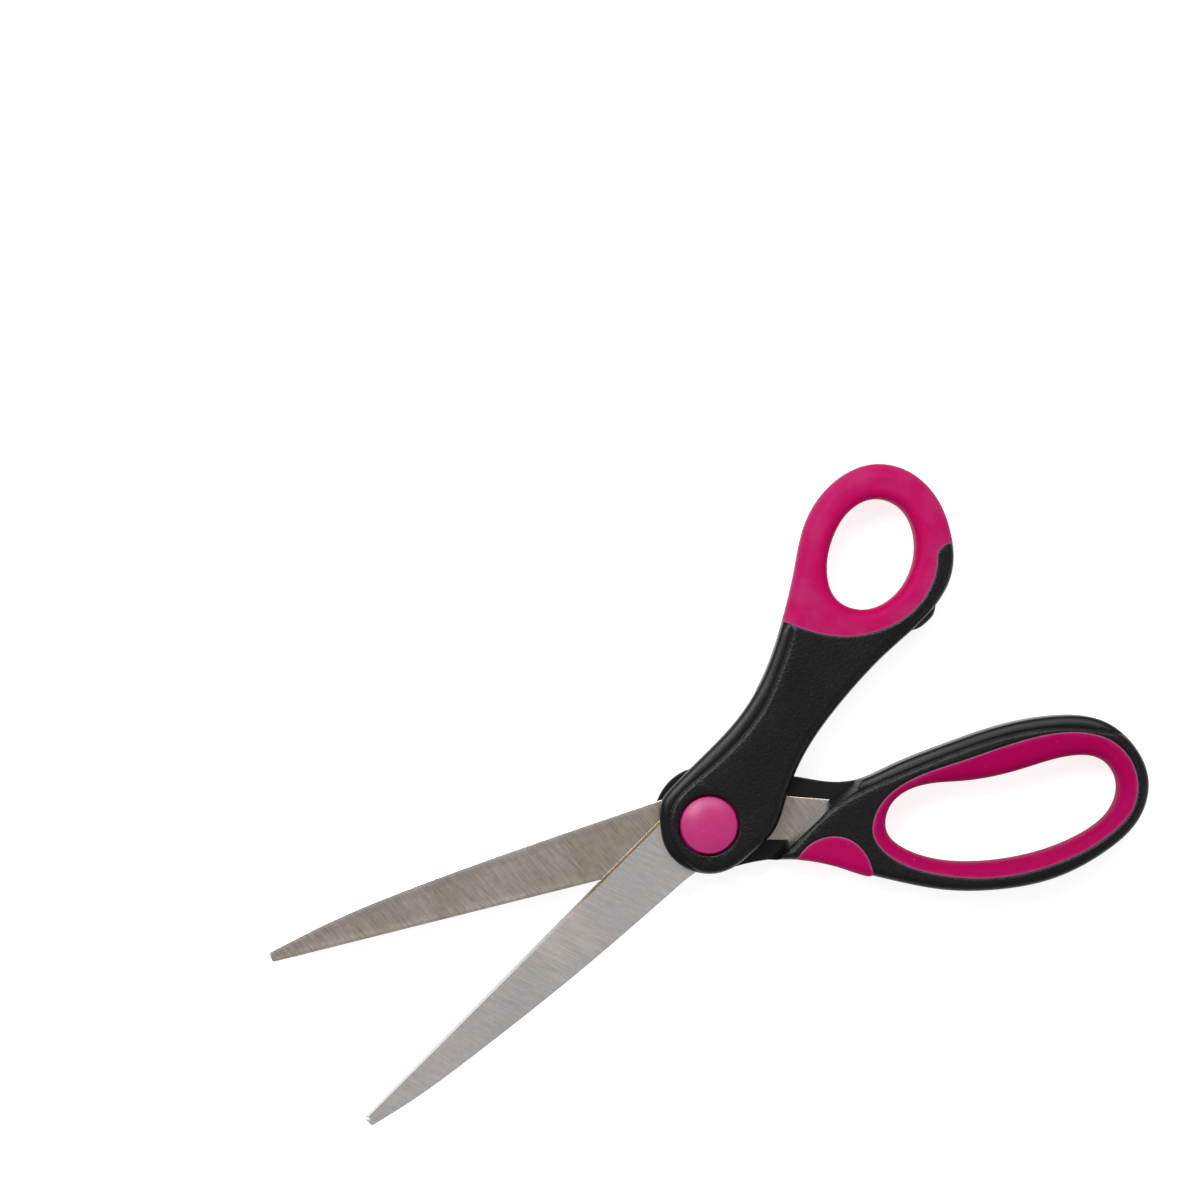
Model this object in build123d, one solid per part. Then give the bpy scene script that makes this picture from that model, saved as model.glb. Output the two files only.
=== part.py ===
from build123d import *
import math
import os

# Office scissors with offset bows, in millimetres.
# Row frame: the origin is on the pivot axis in the plane the scissors lie on. +Z runs along the pivot
# towards the cap, +X from the blade tips to the bows along the rear half, +Y to the thumb bow's side.
# Both halves are drawn closed, in the same frame; the front half is then turned open about the pivot.

# ---- driving dimensions ----
THICKNESS = 12.4  # over the bows and both pivot bosses
BLADE_STOCK = 1.6  # blade sheet
BLADE_GAP = 0.1  # between the two blades' inner faces
REST_OPEN_ANGLE = 24.25  # how far the front half is open at rest
EDGE_ROUND = 2.2  # rounding of the handles' outer edges
PIVOT_RADIUS = 2.6  # shank of the pivot bolt
CAP_RADIUS = 6.95  # pivot cap

# ---- levels that follow from them ----
MID_PLANE = THICKNESS / 2
REAR_INNER = MID_PLANE - BLADE_GAP / 2  # inner face of the rear blade and of the rear handle's thin part
FRONT_INNER = MID_PLANE + BLADE_GAP / 2
REAR_OUTER = REAR_INNER - BLADE_STOCK  # outer face of the rear blade
FRONT_OUTER = FRONT_INNER + BLADE_STOCK

# ---- blades ----
REAR_TIP_X = -110.7
FRONT_TIP_X = -109.3
TIP_ROUND = 0.7
BEVEL_WIDTH = 0.8  # ground land along the cutting edge
EDGE_LAND = 0.25  # steel left at the very edge
BEVEL_START_X = -8.0  # the bevel runs from here to the tip
TIP_STOCK = 1.1  # the outer face is ground thinner towards the tip
TAPER_START_X = -22.0
ANCHOR_RADIUS = 1.8  # hole in each tang that the handle's plastic fills
REAR_ANCHOR = (27.6, -7.6)
FRONT_ANCHOR = (29.6, 7.0)

# ---- pivot hardware, from the back of the scissors to the cap ----
RUNNING_CLEARANCE = 0.05
HEAD_RADIUS = 5.0
HEAD_HEIGHT = 1.6
NECK_SIDE = 6.2  # square neck that keys the bolt to the rear handle
NECK_TOP = 3.0
THREAD_RADIUS = 2.0
BOLT_TOP = 11.6
WELL_RADIUS = CAP_RADIUS + 0.45  # the cap sits in this well with a narrow gap round it
WELL_FLOOR = 9.2
STACK_GAP = 0.05  # between the flat washer and the well's floor
WASHER_RADIUS = 5.2
WASHER_STOCK = 0.4
SPRING_RADIUS = 4.6
SPRING_STOCK = 0.7
SPRING_SLIT = 0.8
SPRING_SLIT_LEAN = 30.0
NUT_RADIUS = 4.4
NUT_HEIGHT = 1.3
NUT_SLOT = 1.0
NUT_SLOT_DEPTH = 0.6
WASHER_LOW = WELL_FLOOR + STACK_GAP
SPRING_LOW = WASHER_LOW + WASHER_STOCK
NUT_LOW = SPRING_LOW + SPRING_STOCK
CAP_CROWN = THICKNESS + 0.5  # the cap stands this much proud of the handles
CAP_DOME_RISE = 1.0
CAP_WALL = 0.9
CAP_ROOF = 0.6
BEAD_RADIUS = WELL_RADIUS + 0.3  # snap bead round the foot of the cap
BEAD_HEIGHT = 0.7

# ---- handles and soft parts ----
STEP_LEAN = 15.0  # the step wall from thin to full thickness leans back by this angle
GRIP_SINK = 0.3  # the finger ring's faces lie this far below the handle's
GRIP_HOLE_ROUND = 0.8  # rounding of the finger ring's inner rims
GRIP_RIM_ROUND = 0.7  # rounding of its outer rims
RIB_DEPTH = 1.2  # rib of hard plastic that the finger ring is moulded round
RIB_HEIGHT = 4.0
CORE_HEIGHT = 5.0  # hard core inside the thumb bow's overmould
CORE_INNER = 2.4  # from the thumb hole's wall to the core
CORE_OUTER = 6.0
PAD_CORE_HEIGHT = 8.0  # hard plastic left under the index-finger pad
BUMPER_HEIGHT = 5.0
BEYOND = 30.0  # how far the wide cutters reach sideways
CUT_PAST = 1.0  # how far a cutter runs past the face it cuts
SAME_LEVEL = 0.01  # edges this close in height count as level


def closed_curve(points):
    """A face bounded by one smooth closed curve."""
    return make_face(Spline(*points, periodic=True))


def wider_curve(face, distance, points=26):
    """The face of a closed curve, with the curve moved outwards by a distance."""
    edge = face.edges()[0]
    moved = []
    for step in range(points):
        at = edge.position_at(step / points)
        along = edge.tangent_at(step / points)
        moved.append((at.X + along.Y * distance, at.Y - along.X * distance))
    return closed_curve(moved)


def slab(face, low, high):
    """A flat face in the XY plane, given thickness from one level to another."""
    return extrude(face.moved(Pos(0, 0, low)), high - low, dir=(0, 0, 1))


def disc(radius, low, high):
    return Pos(0, 0, low) * extrude(Circle(radius), high - low)


def ring(outer, inner, low, high):
    return disc(outer, low, high) - disc(inner, low, high)


def open_half(shape):
    """Turn a piece of the front half from the closed pose to the rest pose."""
    return Rot(0, 0, REST_OPEN_ANGLE) * shape


def on_arc(centre, radius, degrees):
    angle = math.radians(degrees)
    return (centre[0] + radius * math.cos(angle), centre[1] + radius * math.sin(angle))


# ---- outlines, all in the closed frame ----
def rear_handle_outline():
    boss = [on_arc((0, 1.3), 12.85, degrees) for degrees in range(75, 256, 30)]
    lower_edge = [(4, -11.7), (13, -12.8), (21, -15.5), (29, -20.1), (37, -24.9), (50, -31.7)]
    bow = [
        (62, -35.3), (75, -36.7), (90, -34.0), (100, -28.6), (104.6, -20.5), (103.6, -11.5), (98, -3.6),
        (88, 0.6), (75, 2.3), (60, 1.9), (46, 0.7),
    ]
    neck = [(37.5, -0.2), (32.5, 0.7), (24, 4.6), (14, 9.4)]
    return closed_curve(boss + lower_edge + bow + neck)


def front_handle_outline():
    boss = [on_arc((0, 0), 11.8, degrees) for degrees in range(135, 256, 30)]
    lower_edge = [(3.5, -11.9), (10.5, -11.5), (19, -7.0), (30, -1.9), (44, 1.3), (60, 2.9)]
    bow = [
        (73, 3.3), (84, 6.9), (90.4, 14.4), (93.6, 24.0), (92.2, 33.2), (86.6, 39.7), (77, 42.2),
        (66, 39.5), (56, 32.4),
    ]
    upper_edge = [(46, 25.3), (34, 18.4), (22, 14.6), (10, 13.4), (0, 12.8), (-5.2, 11.6)]
    return closed_curve(boss + lower_edge + bow + upper_edge)


def finger_ring_outline():
    return closed_curve([
        (37.0, -14.0), (40.2, -7.9), (48, -4.0), (62, -2.9), (78, -2.5), (91, -4.3), (99.4, -9.6),
        (102.2, -18.0), (99.6, -25.4), (92, -30.4), (77, -33.5), (61, -32.1), (48, -27.0), (40, -20.9),
    ])


def finger_hole_outline():
    return closed_curve([
        (40.5, -14.0), (43.2, -8.4), (49.5, -5.9), (62, -7.8), (77, -9.2), (89, -9.7), (95.6, -12.8),
        (97.5, -18.2), (94.4, -24.6), (86, -28.5), (72, -29.6), (57, -27.0), (45.6, -21.4),
    ])


def thumb_hole_outline():
    return closed_curve([
        (59.1, 20.5), (62.0, 27.4), (68.4, 32.4), (76, 34.5), (82.6, 32.2), (85.3, 26.5), (83.4, 19.8),
        (77.4, 14.0), (69.5, 11.9), (62.6, 14.2),
    ])


def thumb_grip_zone():
    """Everything beyond the line where the thumb bow's soft overmould begins."""
    border = Spline(
        (43, 32), (47.3, 22.2), (54, 13.0), (63, 7.6), (71, 6.2), (79, 8.2), (85.6, 13.1), (95, 9.5),
    )
    far_side = Polyline((95, 9.5), (110, 9.5), (110, 60), (43, 60), (43, 32))
    return make_face([border, far_side])


def index_pad_zone():
    """A half moon that runs out over the rear handle's lower edge."""
    border = Spline((16, -16.2), (19.4, -12.7), (26, -10.9), (31.4, -13.1), (34.6, -20.4), (33.6, -27))
    below = Polyline((33.6, -27), (16, -27), (16, -16.2))
    return make_face([border, below])


def bumper_outline():
    nub = Spline((67.2, 3.3), (69.4, 2.2), (71.8, 2.0), (74.2, 2.3), (76.2, 3.6))
    root = Polyline((76.2, 3.6), (74.6, 5.0), (69.0, 5.0), (67.2, 3.3))
    return make_face([nub, root])


def step_cutter(foot, low, high):
    """The space round the pivot that the other half's thin part swings through.

    foot is the line where the step wall meets the thin part. The wall leans back from there.
    """
    around = [(foot[-1][0], -BEYOND), (-BEYOND, -BEYOND), (-BEYOND, BEYOND), (foot[0][0], BEYOND)]
    face = make_face(Polyline(*foot, *around, close=True)).moved(Pos(0, 0, low))
    upwards = 1 if high > low else -1
    return extrude(face, abs(high - low), dir=(0, 0, upwards), taper=-STEP_LEAN)


# ---- blades ----
def blade(profile, tip_x, inner_face, outward, edge_start, edge_tip):
    """A ground blade. outward is +1 when its outer face points up, and -1 when it points down."""
    outer_face = inner_face + outward * BLADE_STOCK
    body = slab(profile, min(inner_face, outer_face), max(inner_face, outer_face))
    thinned = inner_face + outward * TIP_STOCK
    beyond = outer_face + outward * CUT_PAST
    side = make_face(Polyline(
        (TAPER_START_X, 0, outer_face), (tip_x, 0, thinned), (tip_x, 0, beyond),
        (TAPER_START_X, 0, beyond), close=True,
    ))
    body -= extrude(side, BEYOND, dir=(0, 1, 0), both=True)
    return body - edge_bevel(inner_face, outward, edge_start, edge_tip)


def edge_bevel(inner_face, outward, edge_start, edge_tip):
    """The wedge of steel that is ground away along a straight cutting edge."""
    start = Vector(*edge_start, inner_face)
    along = Vector(*edge_tip, inner_face) - start
    into_blade = Vector(-along.Y, along.X, 0) * outward
    section = Plane(origin=start, x_dir=into_blade, z_dir=along)
    top = 2 * BLADE_STOCK
    reach = BEVEL_WIDTH * (top - EDGE_LAND) / (BLADE_STOCK - EDGE_LAND)
    wedge = Polyline((0, EDGE_LAND), (reach, top), (-top, top), (-top, EDGE_LAND), close=True)
    return extrude(section * make_face(wedge), along.length + CUT_PAST)


def rear_edge(x):
    """The rear blade's straight cutting edge."""
    return (x, -6.7 - 0.052 * x)


def front_edge(x):
    """The front blade's straight cutting edge."""
    return (x, 9.1 + 0.068 * x)


def blade_profile(spine, tang, anchor_at):
    """A blade and its tang in plan, with the tip rounded and the anchor hole cut."""
    face = make_face([Spline(*spine), Polyline(*tang), Line(tang[-1], spine[0])])
    face = fillet(face.vertices().group_by(Axis.X)[0], TIP_ROUND)
    return face - Pos(*anchor_at) * Circle(ANCHOR_RADIUS)


def rear_blade():
    spine = [(REAR_TIP_X, 1.6), (-95, 4.3), (-72, 6.5), (-36, 8.2), (-12.4, 8.9)]
    tang = [
        (-12.4, 8.9), (6, 9.3), (12, 3.6), (20, 1.0), (32.6, -4.0), (30.2, -12.0), (26.5, -12.6),
        (13, -7.8), rear_edge(6), rear_edge(REAR_TIP_X),
    ]
    profile = blade_profile(spine, tang, REAR_ANCHOR)
    plate = blade(profile, REAR_TIP_X, REAR_INNER, -1, rear_edge(BEVEL_START_X), rear_edge(REAR_TIP_X))
    return plate - disc(PIVOT_RADIUS + RUNNING_CLEARANCE / 2, 0, THICKNESS)


def front_blade():
    spine = [(FRONT_TIP_X, -1.0), (-97, -2.9), (-80, -4.4), (-48, -6.0), (-13, -6.3)]
    tang = [
        (-13, -6.3), (6, -8.0), (13, -4.4), (27, 0.9), (36.5, 5.8), (33.5, 13.4), (21, 8.2), (12, 8.6),
        front_edge(6), front_edge(FRONT_TIP_X),
    ]
    profile = blade_profile(spine, tang, FRONT_ANCHOR)
    plate = blade(profile, FRONT_TIP_X, FRONT_INNER, 1, front_edge(BEVEL_START_X), front_edge(FRONT_TIP_X))
    return plate - disc(PIVOT_RADIUS + RUNNING_CLEARANCE, 0, THICKNESS)


# ---- pivot hardware ----
def pivot_bolt():
    head = disc(HEAD_RADIUS, 0, HEAD_HEIGHT)
    neck = Pos(0, 0, NECK_TOP / 2) * Box(NECK_SIDE, NECK_SIDE, NECK_TOP)
    shank = disc(PIVOT_RADIUS, 0, NUT_LOW)
    thread = disc(THREAD_RADIUS, 0, BOLT_TOP)
    return head + neck + shank + thread


def flat_washer():
    return ring(WASHER_RADIUS, PIVOT_RADIUS + RUNNING_CLEARANCE, WASHER_LOW, SPRING_LOW)


def spring_washer():
    washer = ring(SPRING_RADIUS, PIVOT_RADIUS + RUNNING_CLEARANCE, SPRING_LOW, NUT_LOW)
    slit = Pos(SPRING_RADIUS, 0, 0) * Box(2 * SPRING_RADIUS, SPRING_SLIT, 4 * SPRING_STOCK)
    return washer - Pos(0, 0, SPRING_LOW + SPRING_STOCK / 2) * Rot(SPRING_SLIT_LEAN, 0, 0) * slit


def pivot_nut():
    nut = ring(NUT_RADIUS, THREAD_RADIUS, NUT_LOW, NUT_LOW + NUT_HEIGHT)
    slot = Box(4 * NUT_RADIUS, NUT_SLOT, 2 * NUT_SLOT_DEPTH)
    return nut - Pos(0, 0, NUT_LOW + NUT_HEIGHT) * slot


def pivot_cap():
    dome_radius = (CAP_RADIUS ** 2 + CAP_DOME_RISE ** 2) / (2 * CAP_DOME_RISE)
    dome = Pos(0, 0, CAP_CROWN - dome_radius) * Sphere(dome_radius)
    body = disc(CAP_RADIUS, WASHER_LOW, CAP_CROWN) & dome
    bead = disc(BEAD_RADIUS, WASHER_LOW, WASHER_LOW + BEAD_HEIGHT)
    hollow = disc(CAP_RADIUS - CAP_WALL, WASHER_LOW, CAP_CROWN) & (Pos(0, 0, -CAP_ROOF) * dome)
    return body + bead - hollow


# ---- handles and their soft parts ----
def flat_rims(body, level):
    """The edges that lie in one horizontal plane."""
    rims = []
    for edge in body.edges():
        box = edge.bounding_box()
        if max(abs(box.min.Z - level), abs(box.max.Z - level)) < SAME_LEVEL:
            rims.append(edge)
    return rims


def rounded_slab(face, low, high, radius):
    body = slab(face, low, high)
    return fillet(flat_rims(body, low) + flat_rims(body, high), radius)


def cut_rounded_hole(body, hole, low, high, radius):
    """Cut a hole through a slab and round its rims, which are the shortest flat ones."""
    body -= slab(hole, 0, THICKNESS)
    rims = [min(flat_rims(body, level), key=lambda edge: edge.length) for level in (low, high)]
    return fillet(rims, radius)


def mid_slab(face, height):
    """A slab of this height, centred on the mid plane."""
    return slab(face, MID_PLANE - height / 2, MID_PLANE + height / 2)


def finger_ring_rib():
    """Rib round the inside of the finger bow, which keys the soft ring to it."""
    outline = finger_ring_outline()
    return mid_slab(outline - wider_curve(outline, -RIB_DEPTH), RIB_HEIGHT)


def rear_bow_grip():
    low = GRIP_SINK
    high = THICKNESS - GRIP_SINK
    grip = rounded_slab(finger_ring_outline(), low, high, GRIP_RIM_ROUND)
    grip = cut_rounded_hole(grip, finger_hole_outline(), low, high, GRIP_HOLE_ROUND)
    return grip - finger_ring_rib()


def index_finger_pad(body):
    """The soft skin of the half moon, wrapped over the rear handle's lower edge."""
    core = make_face(Polyline((10, -7.9), (42, -24.9), (42, 10), (10, 10), close=True))
    return (body & slab(index_pad_zone(), 0, THICKNESS)) - mid_slab(core, PAD_CORE_HEIGHT)


def rear_handle(body, blade_solid, bolt, pad):
    handle = body - slab(finger_ring_outline(), 0, THICKNESS) + finger_ring_rib()
    foot = [(39, 2), (36, -0.9), (28.7, -3.2), (16, -9.9), (8, -14.5)]
    handle -= step_cutter(foot, REAR_INNER, THICKNESS + CUT_PAST)
    return handle - blade_solid - bolt - pad


def thumb_core():
    """Hard ring inside the thumb bow, joined to the arm by a tongue."""
    hole = thumb_hole_outline()
    keep_out = wider_curve(hole, CORE_INNER)
    tongue = make_face(Polyline((42, 13), (46, 21), (58, 26), (64, 8), (52, 7.5), close=True))
    return mid_slab(wider_curve(hole, CORE_OUTER) + tongue - keep_out, CORE_HEIGHT)


def front_handle(body, blade_solid, cap, bumper):
    handle = body - slab(thumb_grip_zone(), 0, THICKNESS) + thumb_core()
    foot = [(28.6, 18.5), (37.6, -1.0)]
    handle -= step_cutter(foot, FRONT_INNER, -CUT_PAST)
    handle -= disc(WELL_RADIUS, WELL_FLOOR, THICKNESS)
    handle -= disc(PIVOT_RADIUS + RUNNING_CLEARANCE, 0, THICKNESS)
    return handle - blade_solid - cap - bumper


def closing_bumper():
    return mid_slab(bumper_outline(), BUMPER_HEIGHT)


def rear_half():
    body = rounded_slab(rear_handle_outline(), 0, THICKNESS, EDGE_ROUND)
    blade_solid = rear_blade()
    bolt = pivot_bolt()
    pad = index_finger_pad(body)
    return {
        "rear_blade": blade_solid,
        "rear_handle": rear_handle(body, blade_solid, bolt, pad),
        "rear_bow_grip": rear_bow_grip(),
        "index_finger_pad": pad,
        "pivot_bolt": bolt,
        "flat_washer": flat_washer(),
        "spring_washer": spring_washer(),
        "pivot_nut": pivot_nut(),
    }


def front_half():
    body = rounded_slab(front_handle_outline(), 0, THICKNESS, EDGE_ROUND)
    body = cut_rounded_hole(body, thumb_hole_outline(), 0, THICKNESS, EDGE_ROUND)
    blade_solid = front_blade()
    cap = pivot_cap()
    bumper = closing_bumper()
    closed = {
        "front_blade": blade_solid,
        "front_handle": front_handle(body, blade_solid, cap, bumper),
        "front_bow_grip": (body & slab(thumb_grip_zone(), 0, THICKNESS)) - thumb_core(),
        "closing_bumper": bumper,
        "pivot_cap": cap,
    }
    return {name: open_half(shape) for name, shape in closed.items()}


os.makedirs("parts", exist_ok=True)
for name, shape in {**rear_half(), **front_half()}.items():
    export_step(shape, f"parts/{name}.step")
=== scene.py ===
"""The looks of the office scissors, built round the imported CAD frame.

Lengths and levels are in millimetres in the CAD frame, and each mesh is scaled to metres when it is made.
Lights, camera and floor are in metres. Both halves are drawn closed, and the front half's pieces are then
turned open about the pivot.
"""

import math

import bpy
import numpy as np
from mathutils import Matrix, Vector
from mathutils.geometry import delaunay_2d_cdt


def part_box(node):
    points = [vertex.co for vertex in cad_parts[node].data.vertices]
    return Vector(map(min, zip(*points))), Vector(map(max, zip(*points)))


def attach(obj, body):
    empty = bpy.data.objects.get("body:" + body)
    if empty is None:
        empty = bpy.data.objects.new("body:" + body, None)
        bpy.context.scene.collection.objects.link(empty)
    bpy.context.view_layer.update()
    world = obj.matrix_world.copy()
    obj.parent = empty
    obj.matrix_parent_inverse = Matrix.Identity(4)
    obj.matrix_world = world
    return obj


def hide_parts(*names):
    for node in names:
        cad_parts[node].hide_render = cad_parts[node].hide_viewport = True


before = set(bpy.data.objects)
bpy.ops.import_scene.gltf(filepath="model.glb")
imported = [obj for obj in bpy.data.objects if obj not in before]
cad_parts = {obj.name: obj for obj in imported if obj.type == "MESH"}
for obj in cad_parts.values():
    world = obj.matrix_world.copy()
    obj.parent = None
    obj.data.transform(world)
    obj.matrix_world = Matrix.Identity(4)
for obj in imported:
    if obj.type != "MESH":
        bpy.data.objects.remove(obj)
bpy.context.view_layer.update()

MM = 0.001
REST_OPEN_ANGLE = math.radians(24.25)


def level(node, end):
    """The lowest (end 0) or highest (end 1) level of a CAD node."""
    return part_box(node)[end].z / MM


# ---- levels, from the frame ----
TOP = level("rear_handle", 1)
REAR_OUTER = level("rear_blade", 0)
REAR_INNER = level("rear_blade", 1)
FRONT_INNER = level("front_blade", 0)
FRONT_OUTER = level("front_blade", 1)
WELL_FLOOR = level("flat_washer", 0)
CAP_CROWN = level("pivot_cap", 1)
HEAD_RADIUS = (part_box("pivot_bolt")[1].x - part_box("pivot_bolt")[0].x) / MM / 2

# ---- fineness of the meshes ----
OUTLINE_STEP = 0.55  # spacing of the points along an outline
LATHE_SEGMENTS = 96
AXIS_GAP = 0.02  # a turned shape's end faces close this near its axis
RING_DEPTHS = (0.05, 0.16, 0.33, 0.56, 0.85, 1.2, 1.6, 2.05, 2.6, 3.2, 3.9)  # rows inside an edge
FINE_DEPTH = 0.2
WIDEST_SPACING = 0.5
LINE_OFFSETS = (-1.0, -0.7, -0.45, -0.24, -0.1, 0.1, 0.24, 0.42, 0.6)  # across the plateau's corner
WALL_OFFSETS = (0.1, -0.12, -0.45, -0.85, -1.25, -1.5, -1.67, -1.8, -2.0)  # down the step walls
GRID_PITCH = 1.3
ROW_PITCH = 0.866 * GRID_PITCH  # rows of a triangular grid
MIN_SPACING = 0.09
CLOSE_TO_WALL = 0.04
CREASE_TO_WALL = 0.2  # a crease line stops this short of an edge
LEAST_AREA = 1e-4  # a smaller triangle between border points is a sliver outside a straight edge
SHARP_ANGLE = math.radians(38)

# ---- sizes of the visible detail ----
# roundings along an edge, each (width in plan, height)
HARD_EDGE = (1.8, 2.0)
SOFT_EDGE = (3.9, 3.4)  # the soft thumb bow is rounder
THIN_EDGE = (0.25, 0.25)  # where a handle's thin part ends
ROLL_EDGE = (0.5, 0.9)
HOLE_EDGE = (1.5, 2.2)
WELL_LIP = (0.4, 0.22)
RING_LIP = (0.5, 0.22)  # along a soft part's border
PAD_LIP = (0.5, 0.3)
BUMPER_EDGE = (0.8, 0.8)
# roll, groove and corner round the plateau
ROLL_WIDTH = 2.7  # the smooth roll leans out to the edge
ROLL_DROP = 0.8
ROLL_DEPTH = 0.28  # its top lies this far below the plateau
GROOVE_DEPTH = 0.16  # groove between the roll and the plateau
GROOVE_WIDTH = 0.26
GROOVE_OUT = 0.12
CORNER_WIDTH = 1.0  # sloping corner of the plateau
CORNER_DROP = 0.27
CORNER_START = -0.1  # the corner's slope begins just outside the plateau's line
ROLL_RISE = 0.2  # the roll meets the plateau's corner over this distance
# borders, steps and the pivot
HOLE_BAND = 2.8  # the thumb hole's rim leans inwards over this width
HOLE_BAND_DROP = 0.55
SEAM_DEPTH = 0.12  # fine line where soft and hard plastic meet
SEAM_WIDTH = 0.16
SEAM_HIGHLIGHT_SHARE = 0.85  # share of the painted highlight line's colour at the seam, and where it fades out
SEAM_HIGHLIGHT_FADE = (0.15, 0.5)
SOFT_PROUD = 0.14  # the soft plastic stands this much proud of the hard
GRAIN_BLEND = 0.1  # the grain fades out across the plateau's line
SMOOTH_GRAIN = 0.3  # share of the plateau's grain on the smooth shoulders
GRAINED_BELOW = 1.5  # the flat underside has the grain too
STEP_SLOPE = 1 / math.tan(math.radians(15))  # rise of the step wall per millimetre in plan
STEP_ROUND = 0.3
BLEND_ON_ARM = 3.0  # the arm's edge turns into the bow's across their border
BLEND_ON_BOW = 3.5
LEDGE_DEPTH = 0.35  # shallow ledge round the boss, on the underside
LEDGE_IN = 2.0
LEDGE_WALL = 0.3
LEDGE_FADE_X = (34, 46)
POCKET_MARGIN = 0.05  # gap between a tang and the plastic round it
PART_LINE = ((0.44, 0), (0.48, -0.05), (0.52, -0.05), (0.56, 0))  # mould line round the handles' sides
CAP_RADIUS = 6.95
WELL_RADIUS = 7.4
HEAD_HEIGHT = 1.6  # the bolt's head
HEAD_RECESS = 1.5
# soft ring and half moon
RING_SUNK = 0.12  # the finger ring's border lies this far below the plateau
RING_LEAN = 0.28  # fall towards the hole per millimetre of width
RING_LEAN_WIDTH = 5.0
RING_LEAN_POWER = 1.6
RING_EDGE_SHARE = 0.45  # the rounding at the hole takes this share of the width, within limits
RING_EDGE_LIMITS = (0.4, 1.6)
RING_EDGE_HEIGHT = 1.7
PAD_SUNK = 0.02  # the half moon's top, below the plateau
PAD_PROUD = 0.1  # the half moon stands proud of the handle's side
NUB_PROUD = 0.4
NUB_X = (26, 32.5)
# blades
BLADE_STOCK = 1.6
BEVEL_WIDTH = 0.8
BEVEL_START_X = -8.0
EDGE_LAND = 0.25
CHAMFER = 0.05
GRIND_DEPTH = 0.06  # the hollow-ground face lies this far below the band along the spine
HOLLOW_FADE_X = (-20, -12)
SPINE_BAND = 1.3
BRIGHT_EDGE_X = (-60, -25)  # the painted highlight on the bevel fades out towards the tip
TIP_STOCK = 1.1
TAPER_START_X = -22.0
REAR_TIP_X = -110.7
FRONT_TIP_X = -109.3
TIP_ROUND = 0.7

# ---- colours of the masked bands ----
# painted highlight line along the soft parts' seams
SEAM_HIGHLIGHT_COLOUR = (0.25, 0.085, 0.18)
# painted warm highlight along each blade's bevel, strongest near the pivot
BEVEL_HIGHLIGHT_COLOUR = (0.42, 0.36, 0.27)
# painted reflection along the spine of the blades' inner faces
SPINE_REFLECTION_COLOUR = (0.56, 0.55, 0.54)

# ---- the view, in metres ----
VIEW_CENTRE = Vector((-9.2, 59.6, 6.2)) * MM
VIEW_WIDTH = 290.4 * MM
VIEW_TURN = math.radians(-17.05)
CAMERA_HEIGHT = 1.2
SENSOR_WIDTH = 36.0  # in millimetres, as Blender counts it
IMAGE_RIGHT = Vector((math.cos(VIEW_TURN), math.sin(VIEW_TURN), 0))
IMAGE_UP = Vector((-math.sin(VIEW_TURN), math.cos(VIEW_TURN), 0))
FLOOR_REACH = 3
WORLD_STRENGTH = 0.47


# ---- curves in plan ----
def spline_through(points, closed):
    """Points, about OUTLINE_STEP apart, along the smooth cubic curve through a few given points."""
    knots = np.array(points, float)
    if closed:
        knots = np.vstack([knots, knots[:1]])
    spans = np.linalg.norm(np.diff(knots, axis=0), axis=1)
    slopes = np.diff(knots, axis=0) / spans[:, None]
    count = len(knots)
    system = np.zeros((count, count))
    target = np.zeros((count, 2))
    for i in range(1, count - 1):
        system[i, i - 1:i + 2] = spans[i - 1], 2 * (spans[i - 1] + spans[i]), spans[i]
        target[i] = 6 * (slopes[i] - slopes[i - 1])
    if closed:
        system[0, 0] = 1
        system[0, -1] = -1
        system[-1, 1] = spans[0]
        system[-1, 0] = 2 * spans[0]
        system[-1, -1] = 2 * spans[-1]
        system[-1, -2] = spans[-1]
        target[-1] = 6 * (slopes[0] - slopes[-1])
    else:
        system[0, 0] = system[-1, -1] = 1
    bend = np.linalg.solve(system, target)
    pieces = []
    for i, span in enumerate(spans):
        steps = max(1, round(span / OUTLINE_STEP))
        t = np.arange(steps)[:, None] / steps * span
        u = span - t
        pieces.append(
            (bend[i] * u ** 3 + bend[i + 1] * t ** 3) / (6 * span)
            + (knots[i] / span - bend[i] * span / 6) * u
            + (knots[i + 1] / span - bend[i + 1] * span / 6) * t
        )
    if not closed:
        pieces.append(knots[-1:])
    return np.vstack(pieces)


def anticlockwise(loop):
    x, y = loop.T
    return loop if np.sum(x * np.roll(y, -1) - np.roll(x, -1) * y) > 0 else loop[::-1]


def closed_curve(points):
    return anticlockwise(spline_through(points, True))


def open_curve(points):
    return spline_through(points, False)


def straight_path(points):
    """Points along a path of straight runs."""
    path = []
    for start, end in zip(points[:-1], points[1:]):
        start, end = np.array(start, float), np.array(end, float)
        steps = max(1, round(np.linalg.norm(end - start) / OUTLINE_STEP))
        path.extend(start + (end - start) * i / steps for i in range(steps))
    return np.array(path + [np.array(points[-1], float)])


def arc_points(centre, radius, angles):
    return [(centre[0] + radius * math.cos(math.radians(a)), centre[1] + radius * math.sin(math.radians(a)))
            for a in angles]


def circle(radius):
    count = round(2 * math.pi * radius / OUTLINE_STEP)
    return np.array(arc_points((0, 0), radius, np.arange(count) * 360 / count))


def distance_to(points, line, closed=False):
    """Distance from each point to a path."""
    start = line if closed else line[:-1]
    along = (np.roll(line, -1, axis=0) if closed else line[1:]) - start
    length = np.maximum((along ** 2).sum(1), 1e-12)
    nearest = []
    for block in np.array_split(points, max(1, len(points) // 3000)):
        out = block[:, None] - start
        share = np.clip((out * along).sum(2) / length, 0, 1)
        nearest.append(np.sqrt(((out - share[:, :, None] * along) ** 2).sum(2).min(1)))
    return np.concatenate(nearest)


def to_loop(points, loop):
    return distance_to(points, loop, closed=True)


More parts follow.
